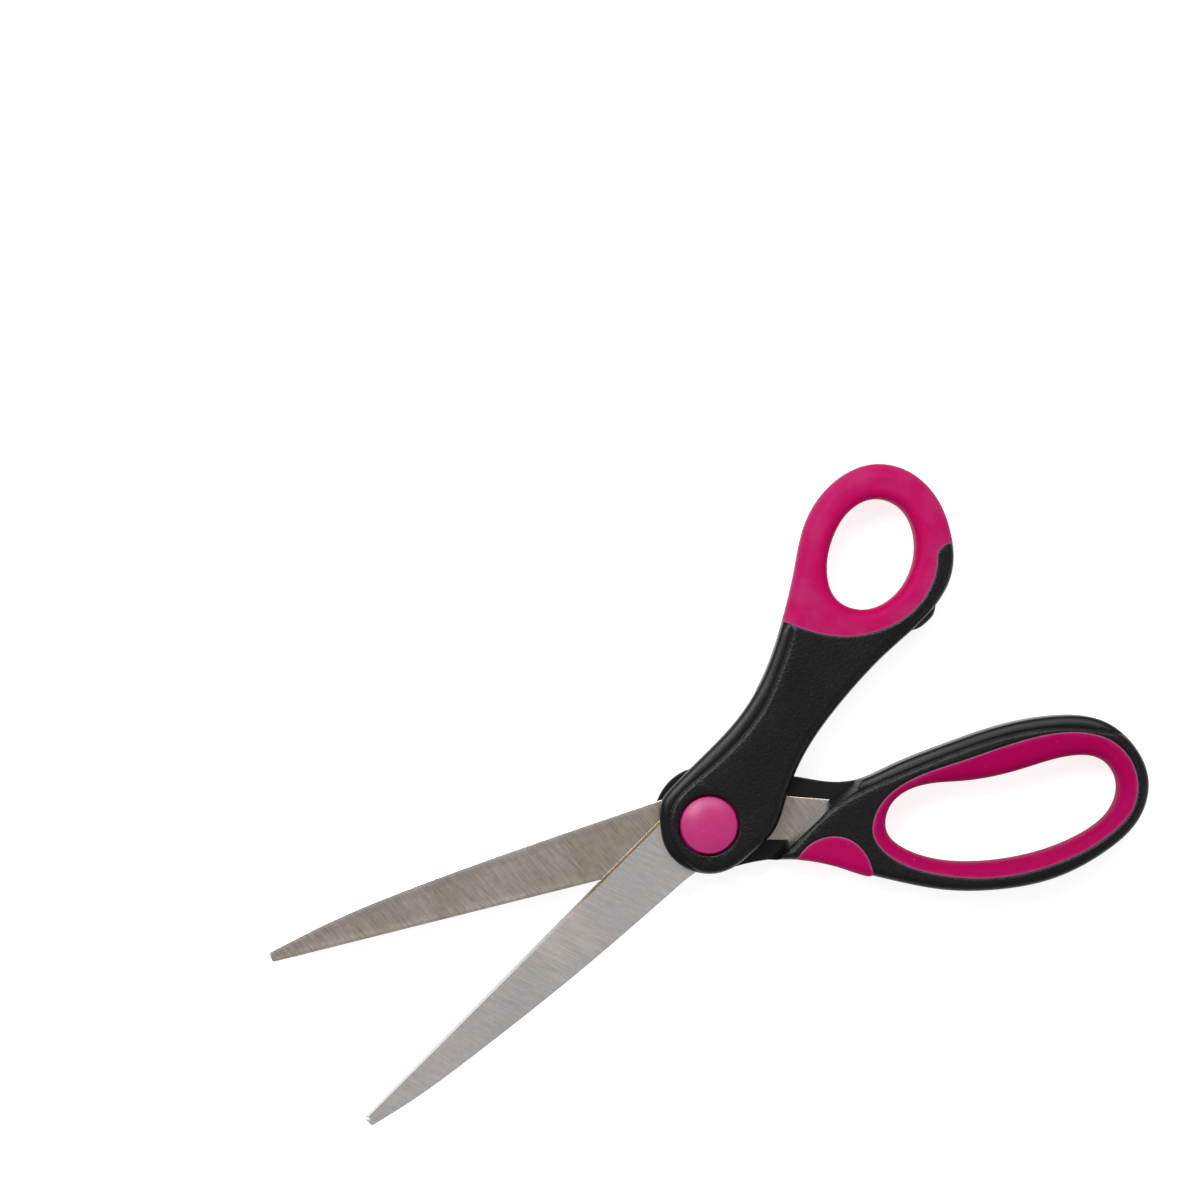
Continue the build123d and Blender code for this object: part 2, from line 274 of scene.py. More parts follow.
def inside(points, loop):
    """Which points lie inside a closed loop."""
    crossings = np.zeros(len(points), int)
    x, y = points.T
    for (x0, y0), (x1, y1) in zip(loop, np.roll(loop, -1, axis=0)):
        if y0 != y1:
            spans = (y0 > y) != (y1 > y)
            crossings += spans & (x < (x1 - x0) * (y - y0) / (y1 - y0) + x0)
    return crossings % 2 == 1


def depth_in(points, loop):
    """Distance from a closed loop, negative outside it."""
    distance = to_loop(points, loop)
    return np.where(inside(points, loop), distance, -distance)


def side_of(points, line):
    """Signed distance from a path, positive on its left."""
    far = 40  # the path runs on straight for this many of its end steps
    first = line[0] + (line[0] - line[1]) * far
    last = line[-1] + (line[-1] - line[-2]) * far
    longer = np.vstack([first, line, last])
    start = longer[:-1]
    along = longer[1:] - start
    out = points[:, None] - start
    share = np.clip((out * along).sum(2) / (along ** 2).sum(1), 0, 1)
    gap = out - share[:, :, None] * along
    distance = np.sqrt((gap ** 2).sum(2))
    nearest = distance.argmin(1)
    rows = np.arange(len(points))
    cross = along[nearest, 0] * out[rows, nearest, 1] - along[nearest, 1] * out[rows, nearest, 0]
    return np.sign(cross) * distance[rows, nearest]


def split_loop(loop, line):
    """Cuts a closed loop along a path that crosses it twice: (the loop on the path's left, the other)."""
    hits = []
    for j, (a, b) in enumerate(zip(line[:-1], line[1:])):
        for i, (c, d) in enumerate(zip(loop, np.roll(loop, -1, axis=0))):
            along, across = b - a, d - c
            turn = along[0] * across[1] - along[1] * across[0]
            if abs(turn) < 1e-12:
                continue
            t = ((c[0] - a[0]) * across[1] - (c[1] - a[1]) * across[0]) / turn
            s = ((c[0] - a[0]) * along[1] - (c[1] - a[1]) * along[0]) / turn
            if 0 <= t < 1 and 0 <= s < 1:
                hits.append((j, i, a + along * t))
    (j0, i0, first), (j1, i1, last) = hits[0], hits[-1]
    cut = np.vstack([first, line[j0 + 1:j1 + 1], last])
    count = len(loop)
    onward = [loop[(i1 + 1 + k) % count] for k in range((i0 - i1) % count)]
    back = [loop[(i0 + 1 + k) % count] for k in range((i1 - i0) % count)]
    one = anticlockwise(np.vstack([cut, onward]) if onward else cut)
    other = anticlockwise(np.vstack([cut[::-1], back]) if back else cut)
    middle = cut[len(cut) // 2:len(cut) // 2 + 2]
    along = middle[1] - middle[0]
    left_point = middle.mean(0) + 0.3 * np.array([-along[1], along[0]]) / np.linalg.norm(along)
    return (one, other) if inside(left_point[None], one)[0] else (other, one)


def outward_normals(loop):
    along = np.roll(loop, -1, axis=0) - np.roll(loop, 1, axis=0)
    along /= np.linalg.norm(along, axis=1)[:, None]
    return np.column_stack([along[:, 1], -along[:, 0]])


# ---- outlines in plan, as in the CAD part ----
REAR_OUTLINE = closed_curve(
    arc_points((0, 1.3), 12.85, range(75, 256, 30))
    + [(4, -11.7), (13, -12.8), (21, -15.5), (29, -20.1), (37, -24.9), (50, -31.7)]
    + [(62, -35.3), (75, -36.7), (90, -34.0), (100, -28.6), (104.6, -20.5), (103.6, -11.5), (98, -3.6),
       (88, 0.6), (75, 2.3), (60, 1.9), (46, 0.7)]
    + [(37.5, -0.2), (32.5, 0.7), (24, 4.6), (14, 9.4)]
)
FRONT_OUTLINE = closed_curve(
    arc_points((0, 0), 11.8, range(135, 256, 30))
    + [(3.5, -11.9), (10.5, -11.5), (19, -7.0), (30, -1.9), (44, 1.3), (60, 2.9)]
    + [(73, 3.3), (84, 6.9), (90.4, 14.4), (93.6, 24.0), (92.2, 33.2), (86.6, 39.7), (77, 42.2),
       (66, 39.5), (56, 32.4)]
    + [(46, 25.3), (34, 18.4), (22, 14.6), (10, 13.4), (0, 12.8), (-5.2, 11.6)]
)
FINGER_RING = closed_curve([
    (37.0, -14.0), (40.2, -7.9), (48, -4.0), (62, -2.9), (78, -2.5), (91, -4.3), (99.4, -9.6),
    (102.2, -18.0), (99.6, -25.4), (92, -30.4), (77, -33.5), (61, -32.1), (48, -27.0), (40, -20.9),
])
FINGER_HOLE = closed_curve([
    (40.5, -14.0), (43.2, -8.4), (49.5, -5.9), (62, -7.8), (77, -9.2), (89, -9.7), (95.6, -12.8),
    (97.5, -18.2), (94.4, -24.6), (86, -28.5), (72, -29.6), (57, -27.0), (45.6, -21.4),
])
THUMB_HOLE = closed_curve([
    (59.1, 20.5), (62.0, 27.4), (68.4, 32.4), (76, 34.5), (82.6, 32.2), (85.3, 26.5), (83.4, 19.8),
    (77.4, 14.0), (69.5, 11.9), (62.6, 14.2),
])
THUMB_BORDER = open_curve([
    (43, 32), (47.3, 22.2), (54, 13.0), (63, 7.6), (71, 6.2), (79, 8.2), (83.8, 11.8), (85.0, 12.9),
    (86.4, 13.2), (88.6, 12.6), (95, 10.6),
])
PAD_BORDER = open_curve([(16, -16.2), (19.4, -12.7), (26, -10.9), (31.4, -13.1), (34.6, -20.4), (33.6, -27)])
PLATEAU = closed_curve(
    arc_points((0, 0), 9.6, (135, 165)) + [(-9.9, -3.0), (-9.0, -8.2), (-2, -15), (20, -14), (100, -4)]
    + [(110, 30), (80, 60), (55, 36)]
    + [(46, 22.0), (38, 17.0), (29, 12.7), (20, 10.7), (5, 10.2), (-3, 9.4)]
)
RIM_LINE = open_curve([
    (106, -10.5), (102.5, -8.6), (97, -6.0), (87.1, -2.3), (75, -0.5), (60, -0.8), (46.3, -2.0), (37.5, -3.0),
    (30, -4.8), (17.2, -11.5), (9, -16.1),
])
REAR_STEP = straight_path([(39, 2), (36, -0.9), (28.7, -3.2), (16, -9.9), (8, -14.5)])
FRONT_STEP = straight_path([(28.6, 18.5), (37.6, -1.0)])


def rear_edge(x):
    """The rear blade's straight cutting edge."""
    return (x, -6.7 - 0.052 * x)


def front_edge(x):
    """The front blade's straight cutting edge."""
    return (x, 9.1 + 0.068 * x)


REAR_SPINE = open_curve([(REAR_TIP_X + TIP_ROUND, 1.7), (-95, 4.3), (-72, 6.5), (-36, 8.2), (-12.4, 8.9)])
REAR_CUT = straight_path([rear_edge(6), rear_edge(REAR_TIP_X + TIP_ROUND)])
REAR_TANG = straight_path([
    (-12.4, 8.9), (6, 9.3), (12, 3.6), (20, 1.0), (32.6, -4.0), (30.2, -12.0), (26.5, -12.6), (13, -7.8),
    rear_edge(6),
])
FRONT_SPINE = open_curve([
    (FRONT_TIP_X + TIP_ROUND, -1.1), (-97, -2.9), (-80, -4.4), (-48, -6.0), (-13, -6.3),
])
FRONT_CUT = straight_path([front_edge(6), front_edge(FRONT_TIP_X + TIP_ROUND)])
FRONT_TANG = straight_path([
    (-13, -6.3), (6, -8.0), (13, -4.4), (27, 0.9), (36.5, 5.8), (33.5, 13.4), (21, 8.2), (12, 8.6),
    front_edge(6),
])


def blade_outline(spine, tang, cut):
    """A blade and its tang in plan, with a small round at both corners of the tip."""
    away = math.copysign(1, cut[-1][1] - spine[0][1])
    side = 90 * away
    first = arc_points(cut[-1] - (0, away * TIP_ROUND), TIP_ROUND, (side + away * 30, side + away * 60))
    last = arc_points(spine[0] + (0, away * TIP_ROUND), TIP_ROUND, (-side - away * 60, -side - away * 30))
    flat = [(cut[-1][0] - TIP_ROUND, cut[-1][1] - away * TIP_ROUND),
            (spine[0][0] - TIP_ROUND, spine[0][1] + away * TIP_ROUND)]
    return anticlockwise(np.vstack([spine[:-1], tang[:-1], cut, first, flat, last]))


REAR_BLADE = blade_outline(REAR_SPINE, REAR_TANG, REAR_CUT)
FRONT_BLADE = blade_outline(FRONT_SPINE, FRONT_TANG, FRONT_CUT)


# ---- profiles across an edge ----
def smooth_step(low, high, value):
    share = np.clip((value - low) / (high - low), 0, 1)
    return share * share * (3 - 2 * share)


def edge_drop(distance, width, height):
    """How far an elliptically rounded edge falls below the face it ends."""
    share = np.clip(1 - distance / width, 0, 1)
    return height * (1 - np.sqrt(1 - share * share))


def handle_face(edge, plateau):
    """Upper surface of a hard handle: textured plateau, groove, then a smooth roll down to the edge."""
    roll = ROLL_DROP * np.clip(1 - edge / ROLL_WIDTH, 0, 1) ** 2
    band = TOP - ROLL_DEPTH - roll - edge_drop(edge, *ROLL_EDGE)
    corner = CORNER_DROP * (1 - smooth_step(CORNER_START, CORNER_WIDTH, plateau))
    face = TOP - corner - edge_drop(edge, *HARD_EDGE)
    groove = GROOVE_DEPTH * np.exp(-((plateau + GROOVE_OUT) / GROOVE_WIDTH) ** 2)
    return band + (face - band) * smooth_step(-ROLL_RISE, 0, plateau) - groove


def seam_drop(distance):
    return SEAM_DEPTH * np.exp(-(distance / SEAM_WIDTH) ** 2)


def softer_min(a, b, blend):
    """The lower of two surfaces, with the crease between them rounded."""
    share = np.clip(0.5 + (a - b) / (2 * blend), 0, 1)
    return a + (b - a) * share - blend * share * (1 - share)


# ---- meshes ----
def new_piece(name, vertices, faces, material, body, turned):
    """A mesh object on a body. A turned piece is drawn closed and opened to the rest pose here."""
    places = np.array(vertices, float) * MM
    if turned:
        cos, sin = math.cos(REST_OPEN_ANGLE), math.sin(REST_OPEN_ANGLE)
        places[:, :2] = places[:, :2] @ np.array([(cos, sin), (-sin, cos)])
    mesh = bpy.data.meshes.new(name)
    mesh.from_pydata([tuple(place) for place in places], [], faces)
    mesh.polygons.foreach_set("use_smooth", [True] * len(mesh.polygons))
    mesh.set_sharp_from_angle(angle=SHARP_ANGLE)
    mesh.materials.append(material)
    piece = bpy.data.objects.new(name, mesh)
    bpy.context.scene.collection.objects.link(piece)
    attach(piece, body)
    return piece


def spread_out(groups):
    """Keeps points in order of importance, none nearer than its group's spacing to one already kept.

    The points are sorted into square cells of 1 mm, which is more than any spacing.
    """
    cells, kept = {}, []
    for points, spacing in groups:
        for point in points:
            column, row = int(point[0] // 1.0), int(point[1] // 1.0)
            cells_round = [(column + i, row + j) for i in (-1, 0, 1) for j in (-1, 0, 1)]
            near = [q for cell in cells_round for q in cells.get(cell, ())]
            if all((point[0] - q[0]) ** 2 + (point[1] - q[1]) ** 2 > spacing ** 2 for q in near):
                cells.setdefault((column, row), []).append(point)
                kept.append(point)
    return kept


def plan_mesh(loops, creases):
    """Triangles over the region inside the first loop and outside the others, fine near edges and creases."""
    fixed, links, ranges = [], [], []
    for loop in loops:
        start = len(fixed)
        fixed.extend(loop)
        ranges.append((start, len(loop)))
        links.extend((start + i, start + (i + 1) % len(loop)) for i in range(len(loop)))

    def in_region(points):
        keep = inside(points, loops[0])
        for hole in loops[1:]:
            keep &= ~inside(points, hole)
        return keep

    def to_edges(points):
        return np.min([to_loop(points, loop) for loop in loops], axis=0)

    for line, _ in creases:
        usable = in_region(line) & (to_edges(line) > CREASE_TO_WALL)
        for i in range(len(line)):
            if usable[i]:
                fixed.append(line[i])
                if i and usable[i - 1]:
                    links.append((len(fixed) - 2, len(fixed) - 1))
    groups = [(fixed, 0.0)]
    for line, offsets in creases:
        normals = outward_normals(line)
        for offset in offsets:
            points = line + normals * offset
            points = points[in_region(points)]
            groups.append((points[to_edges(points) > CLOSE_TO_WALL], MIN_SPACING))
    for depth in RING_DEPTHS:
        spacing = MIN_SPACING if depth < FINE_DEPTH else min(0.3 * depth + 0.05, WIDEST_SPACING)
        for loop in loops:
            points = loop - outward_normals(loop) * depth
            points = points[in_region(points)]
            points = points[to_edges(points) > 0.97 * depth]
            groups.append((points, spacing))
    low, high = loops[0].min(0), loops[0].max(0)
    rows = np.arange(low[1], high[1], ROW_PITCH)
    grid = np.array([(x + (i % 2) * GRID_PITCH / 2, y) for i, y in enumerate(rows)
                     for x in np.arange(low[0], high[0], GRID_PITCH)])
    grid = grid[in_region(grid)]
    grid = grid[to_edges(grid) > 0.5 * RING_DEPTHS[-1]]
    groups.append((grid, 0.75 * GRID_PITCH))
    points = spread_out(groups)
    flat = [Vector((float(p[0]), float(p[1]))) for p in points]
    made, _, triangles, sources, _, _ = delaunay_2d_cdt(flat, links, [], 0, 1e-7)
    made = np.array([tuple(v) for v in made])
    triangles = np.array(triangles)
    triangles = triangles[in_region(made[triangles].mean(1))]
    index_of = {}
    for new, olds in enumerate(sources):
        for old in olds:
            index_of[old] = new
    borders = [[index_of[start + i] for i in range(count)] for start, count in ranges]
    sides = made[triangles[:, 1:]] - made[triangles[:, :1]]
    tiny = np.abs(np.linalg.det(sides)) / 2 < LEAST_AREA
    on_border = np.isin(triangles, np.concatenate(borders)).all(axis=1)
    triangles = triangles[~(tiny & on_border)]
    return made, triangles, borders


def relief(name, loops, top, bottom, material, body, turned=False, creases=(), wall=((0.5, 0.0),),
           masks=None):
    """A closed solid between two surfaces given as functions of the plan, with walls along its loops.

    masks holds named functions of the plan, level and side (1 on top, -1 below), each stored for the shader.
    """
    loops = [loops[0]] + [hole[::-1] for hole in loops[1:]]
    plan, triangles, borders = plan_mesh(loops, creases)
    count = len(plan)
    high, low = top(plan), bottom(plan)
    vertices = [np.column_stack([plan, high]), np.column_stack([plan, low])]
    faces = [tuple(t) for t in triangles.tolist()]
    faces += [tuple(count + i for i in reversed(t)) for t in triangles.tolist()]
    total = 2 * count
    for loop, border in zip(loops, borders):
        size = len(border)
        normals = outward_normals(loop)
        rows = [border]
        for share, out in wall:
            z = high[border] * (1 - share) + low[border] * share
            vertices.append(np.column_stack([plan[border] + normals * out, z]))
            rows.append(list(range(total, total + size)))
            total += size
        rows.append([count + i for i in border])
        for upper, lower in zip(rows[:-1], rows[1:]):
            for i in range(size):
                j = (i + 1) % size
                faces.append((upper[j], upper[i], lower[i], lower[j]))
    places = np.vstack(vertices)
    piece = new_piece(name, places, faces, material, body, turned)
    side = np.where(np.arange(len(places)) < count, 1, np.where(np.arange(len(places)) < 2 * count, -1, 0))
    for mask, value in (masks or {}).items():
        attribute = piece.data.attributes.new(mask, "FLOAT", "POINT")
        attribute.data.foreach_set("value", value(places[:, :2], places[:, 2], side).astype(np.float32))
    return piece


def turned_shape(name, profile, material, body):
    """A lathe shape about the pivot axis, from (radius, level) points."""
    vertices, faces, size = [], [], LATHE_SEGMENTS
    for radius, z in profile:
        for k in range(size):
            angle = 2 * math.pi * k / size
            vertices.append((radius * math.cos(angle), radius * math.sin(angle), z))
    for row in range(len(profile) - 1):
        for k in range(size):
            after = (k + 1) % size
            a, b = row * size, (row + 1) * size
            faces.append((a + k, a + after, b + after, b + k))
    faces.append(tuple(reversed(range(size))))
    last = (len(profile) - 1) * size
    faces.append(tuple(last + k for k in range(size)))
    return new_piece(name, vertices, faces, material, body, False)


# ---- materials ----
class Shader:
    """A node material with one Principled shader, and short calls for the nodes that feed it."""

    def __init__(self, name, colour, roughness, **fixed):
        self.material = bpy.data.materials.new(name)
        self.material.use_nodes = True
        self.tree = self.material.node_tree
        self.surface = self.tree.nodes["Principled BSDF"]
        self.set("Base Color", (*colour, 1))
        self.set("Roughness", roughness)
        for socket, value in fixed.items():
            self.set(socket.replace("_", " "), value)

    def feed(self, target, value):
        if isinstance(value, bpy.types.NodeSocket):
            self.tree.links.new(value, target)
        else:
            target.default_value = value

    def set(self, socket, value):
        self.feed(self.surface.inputs[socket], value)

    def node(self, kind, **settings):
        made = self.tree.nodes.new(kind)
        for key, value in settings.items():
            if hasattr(made, key):
                setattr(made, key, value)
            else:
                self.feed(made.inputs[key.replace("_", " ").title()], value)
        return made

    def place(self, lines_along=0.0, drawn_out=1.0):
        """The point on the surface, for a texture drawn out by a factor along a direction in plan."""
        where = self.node("ShaderNodeTexCoord").outputs["Object"]
        turned = self.node("ShaderNodeMapping", vector_type="TEXTURE")
        self.feed(turned.inputs["Vector"], where)
        turned.inputs["Rotation"].default_value = (0, 0, lines_along)
        turned.inputs["Scale"].default_value = (drawn_out, 1, 1)
        return turned.outputs["Vector"]

    def noise(self, per_mm, detail=2.0, place=None):
        made = self.node("ShaderNodeTexNoise", scale=per_mm / MM, detail=detail)
        self.feed(made.inputs["Vector"], place or self.place())
        return made.outputs["Fac"]

    def spread(self, value, low, high, to_low, to_high):
        """Maps a value from one range to another, clamped."""
        made = self.node("ShaderNodeMapRange", clamp=True)
        for socket, number in zip(("Value", "From Min", "From Max", "To Min", "To Max"),
                                  (value, low, high, to_low, to_high)):
            self.feed(made.inputs[socket], number)
        return made.outputs["Result"]

    def maths(self, operation, a, b):
        made = self.node("ShaderNodeMath", operation=operation)
        self.feed(made.inputs[0], a)
        self.feed(made.inputs[1], b)
        return made.outputs["Value"]

    def mix(self, share, one, other, blend="MIX"):
        made = self.node("ShaderNodeMix", data_type="RGBA", blend_type=blend)
        self.feed(made.inputs[0], share)
        for socket, value in ((made.inputs[6], one), (made.inputs[7], other)):
            self.feed(socket, value if isinstance(value, bpy.types.NodeSocket) else (*value, 1))
        return made.outputs[2]

    def mask(self, name):
        return self.node("ShaderNodeAttribute", attribute_name=name).outputs["Fac"]

    def bump(self, *layers):
        """Stacks bumps, each (height, depth in millimetres, strength)."""
        normal = None
        for height, depth, strength in layers:
            made = self.node("ShaderNodeBump")
            self.feed(made.inputs["Height"], height)
            made.inputs["Distance"].default_value = depth * MM
            self.feed(made.inputs["Strength"], strength)
            if normal:
                self.feed(made.inputs["Normal"], normal)
            normal = made.outputs["Normal"]
        self.set("Normal", normal)


def scaled(colour, factor):
    return tuple(channel * factor for channel in colour)


def black_plastic():
    """Moulded plastic: spark-eroded on the plateau, smoother on the shoulders, with faint rub marks."""
    shader = Shader("black_plastic", (0.002, 0.002, 0.002), 0.5, Specular_IOR_Level=0.23)
    grain = shader.mask("grain")
    fine = shader.noise(2.8, 4.0)
    coarse = shader.noise(1.5, 3.0)
    rub = shader.noise(0.05, 4.0)
    pits = shader.maths("ADD", shader.maths("MULTIPLY", fine, 0.8), coarse)
    rub_and_painted_shade = shader.spread(rub, 0.35, 0.7, 0.0, 0.5)
    tone = shader.maths("ADD", rub_and_painted_shade, shader.spread(fine, 0.4, 0.7, 0.0, 0.5))
    shader.set("Base Color", shader.mix(tone, (0.0004, 0.0004, 0.0004), (0.0036, 0.0033, 0.0034)))
    shader.set("Roughness", shader.spread(rub, 0.3, 0.75, 0.3, 0.4))
    shader.bump((pits, 0.2, shader.spread(grain, 0.3, 1, 0.12, 0.5)), (rub, 0.12, 0.05))
    return shader.material


def soft_magenta(name, colour, painted_shade_colour, roughness, specular, mottling):
    """Soft-touch overmould: satin, with a very fine skin, faint mottling and dust-like specks.

    Where its mask is high it is painted a deeper, more saturated colour as a painted shade for surfaces that
    tilt away, and its edges stay paler as a painted sheen; along the seam a painted highlight line makes it
    greyer.
    """
    shader = Shader(name, colour, roughness, Specular_IOR_Level=specular)
    mottle = shader.noise(0.16, 5.0)
    skin = shader.noise(3.0, 2.0)
    specks = shader.noise(0.9, 1.0)
    red, green, blue = colour
    worn = shader.spread(mottle, 0.4, 0.62, 0.5 - 0.5 * mottling, 0.5 + 0.5 * mottling)
    tone = shader.mix(worn, (red * 1.02, green * 0.2, blue * 0.9), (red * 1.03, green + 0.013, blue * 1.16))
    # painted shade: deeper colour where the mask is high, paler edges as a painted sheen
    tone = shader.mix(shader.mask("rub_and_painted_shade"), tone, painted_shade_colour)
    # painted highlight line along the seam
    tone = shader.mix(shader.mask("seam"), tone, SEAM_HIGHLIGHT_COLOUR)
    dust = shader.spread(specks, 0.7, 0.8, 0.0, 0.3)
    shader.set("Base Color", shader.mix(dust, tone, (red * 1.2, green + 0.05, blue * 1.4)))
    shader.set("Roughness", shader.spread(mottle, 0.3, 0.7, roughness - 0.04, roughness + 0.06))
    shader.bump((skin, 0.03, 0.4), (mottle, 0.15, 0.06))
    return shader.material


def ground_steel(name, colour, patch_colour, lines_along, line_strength, scratch_strength, roughness):
    """Ground stainless steel: fine parallel grinding lines, a few deeper scratches, soft patches, a painted
    reflection along the spine and a painted warm highlight along the bevel.
    """
    shader = Shader(name, colour, roughness, Metallic=1.0)
    fine = shader.noise(2.8, 3.0, shader.place(lines_along, 16))
    broad = shader.noise(1.4, 3.0, shader.place(lines_along + 0.05, 8))
    scratches = shader.noise(1.6, 1.0, shader.place(lines_along - 0.06, 24))
    crossing = shader.noise(0.7, 1.0, shader.place(lines_along + 0.9, 60))
    patches = shader.noise(0.05, 5.0)
    mottle = shader.noise(0.9, 3.0)
    pits = shader.noise(1.3, 0.0)
    lines = shader.maths("ADD", shader.maths("MULTIPLY", fine, 0.6), shader.maths("MULTIPLY", broad, 0.18))
    lines = shader.maths("ADD", lines, shader.maths("MULTIPLY", mottle, 0.22))
    tone = shader.mix(shader.spread(patches, 0.45, 0.66, 0.0, 1.0), colour, patch_colour)
    shade = shader.spread(lines, 0.36, 0.64, 1 - line_strength, 1 + line_strength)
    lined = shader.mix(1, tone, shade, "MULTIPLY")
    deep = shader.spread(scratches, 0.64, 0.74, 0.0, scratch_strength)
    scratched = shader.mix(deep, lined, scaled(colour, 0.62))
    bright = shader.maths("MAXIMUM", shader.spread(crossing, 0.7, 0.76, 0.0, 0.3),
                          shader.spread(pits, 0.84, 0.88, 0.0, 0.5))
    marked = shader.mix(bright, scratched, scaled(colour, 1.3))
    # painted reflection: lighter band along the spine
    marked = shader.mix(shader.mask("painted_spine_reflection"), marked, SPINE_REFLECTION_COLOUR)
    # painted warm highlight along the bevel
    shader.set("Base Color", shader.mix(shader.mask("painted_bevel_highlight"), marked, BEVEL_HIGHLIGHT_COLOUR))
    wear = shader.spread(patches, 0.3, 0.7, roughness - 0.03, roughness + 0.05)
    shader.set("Roughness", shader.maths("ADD", wear, shader.spread(lines, 0.3, 0.7, -0.04, 0.06)))
    shader.bump((lines, 0.02, 2.5 * line_strength), (scratches, 0.03, scratch_strength), (pits, 0.02, 0.1))
    return shader.material


def turned_steel():
    """Bright machined steel for the pivot's hardware, with concentric tool marks."""
    shader = Shader("turned_steel", (0.55, 0.54, 0.52), 0.26, Metallic=1.0)
    rings = shader.node("ShaderNodeTexWave", wave_type="RINGS", rings_direction="Z", scale=1500,
                        distortion=1.5)
    shader.feed(rings.inputs["Vector"], shader.place())
    stain = shader.noise(0.22, 4.0)
    tone = shader.spread(stain, 0.35, 0.7, 0, 1)
    shader.set("Base Color", shader.mix(tone, (0.42, 0.41, 0.39), (0.58, 0.57, 0.55)))
    shader.set("Roughness", shader.spread(stain, 0.3, 0.7, 0.22, 0.36))
    shader.bump((rings.outputs["Fac"], 0.01, 0.3), (stain, 0.02, 0.1))
    return shader.material


def bumper_rubber():
    shader = Shader("bumper_rubber", (0.006, 0.006, 0.006), 0.5, Specular_IOR_Level=0.35)
    skin = shader.noise(1.8, 3.0)
    patches = shader.noise(0.16, 3.0)
    shader.set("Base Color", shader.mix(patches, (0.003, 0.003, 0.003), (0.009, 0.009, 0.009)))
    shader.set("Roughness", shader.spread(patches, 0.3, 0.7, 0.4, 0.58))
    shader.bump((skin, 0.03, 0.4))
    return shader.material


def pale_floor():
    """A white table with a little light of its own, so that shadows on it stay faint."""
    shader = Shader("pale_floor", (0.45, 0.45, 0.45), 0.9, Specular_IOR_Level=0.0,
                    Emission_Color=(1, 1, 1, 1), Emission_Strength=0.78)
    shader.set("Base Color", shader.mix(shader.noise(0.003), (0.44, 0.44, 0.44), (0.46, 0.46, 0.46)))
    return shader.material


BLACK = black_plastic()
THUMB_MAGENTA = soft_magenta("thumb_bow_magenta", (0.365, 0.003, 0.088), (0.4, 0.0005, 0.08),
                             roughness=0.5, specular=0.05, mottling=0.6)
RING_MAGENTA = soft_magenta("finger_ring_magenta", (0.3, 0.004, 0.07), (0.308, 0.0005, 0.067),
                            roughness=0.55, specular=0.03, mottling=0.8)
PAD_MAGENTA = soft_magenta("half_moon_magenta", (0.322, 0.002, 0.076), (0.335, 0.0005, 0.073),
                           roughness=0.52, specular=0.05, mottling=0.6)
CAP_PINK = soft_magenta("magenta_cap", (0.39, 0.024, 0.134), (0.39, 0.024, 0.134),
                        roughness=0.32, specular=0.3, mottling=0.2)
REAR_STEEL = ground_steel("rear_blade_steel", (0.427, 0.367, 0.31), (0.43, 0.373, 0.34),
                          math.radians(115), line_strength=0.14, scratch_strength=0.3, roughness=0.28)
FRONT_STEEL = ground_steel("front_blade_steel", (0.67, 0.635, 0.61), (0.68, 0.63, 0.605),
                           math.radians(112) + REST_OPEN_ANGLE, line_strength=0.05,
                           scratch_strength=0.12, roughness=0.26)
BRIGHT = turned_steel()
RUBBER = bumper_rubber()


# ---- the rear half ----
def stepped_face(plan, full, edge, step, inner, tang, pocket):
    """A handle's face, falling by a step to its thin part over the pivot, with a pocket for the tang."""
    beyond = side_of(plan, step)
    thick = softer_min(full, inner + np.maximum(beyond, 0) * STEP_SLOPE, STEP_ROUND)
    thin = inner - edge_drop(edge, *THIN_EDGE)
    surface = np.where(beyond > 0, np.maximum(thick, thin), thin)
    in_pocket = (depth_in(plan, tang) > -POCKET_MARGIN) & (beyond < -0.5 * POCKET_MARGIN)
    return np.where(in_pocket, pocket, surface)


def rear_top(plan):
    edge = to_loop(plan, REAR_OUTLINE)
    full = handle_face(edge, side_of(plan, RIM_LINE))
    return stepped_face(plan, full, edge, REAR_STEP, REAR_INNER, REAR_BLADE, REAR_OUTER - POCKET_MARGIN)


def rear_bottom(plan):
    """The underside, with a shallow ledge round the boss and a recess for the bolt's head."""
    edge = to_loop(plan, REAR_OUTLINE)
    round_boss = 1 - smooth_step(*LEDGE_FADE_X, plan[:, 0])
    ledge = LEDGE_DEPTH * (1 - smooth_step(LEDGE_IN, LEDGE_IN + LEDGE_WALL, edge)) * round_boss
    surface = edge_drop(edge, *HARD_EDGE) + ledge
    in_recess = np.linalg.norm(plan, axis=1) < HEAD_RADIUS + POCKET_MARGIN
    return np.where(in_recess, level("pivot_bolt", 0) + HEAD_RECESS, surface)


def seam_highlight_mask(border, closed=False):
    """A mask for a painted highlight line, strongest where a soft part meets the hard plastic, fading
    inwards.
    """
    def mask(plan, z, side):
        return SEAM_HIGHLIGHT_SHARE * (1 - smooth_step(*SEAM_HIGHLIGHT_FADE, distance_to(plan, border, closed)))
    return mask


def grain_share(on_top, z, side):
    """How much of the grain shows on a handle, from the share of it on top. The walls have the least."""
    return SMOOTH_GRAIN + (1 - SMOOTH_GRAIN) * np.where(side > 0, on_top, (side < 0) & (z < GRAINED_BELOW))


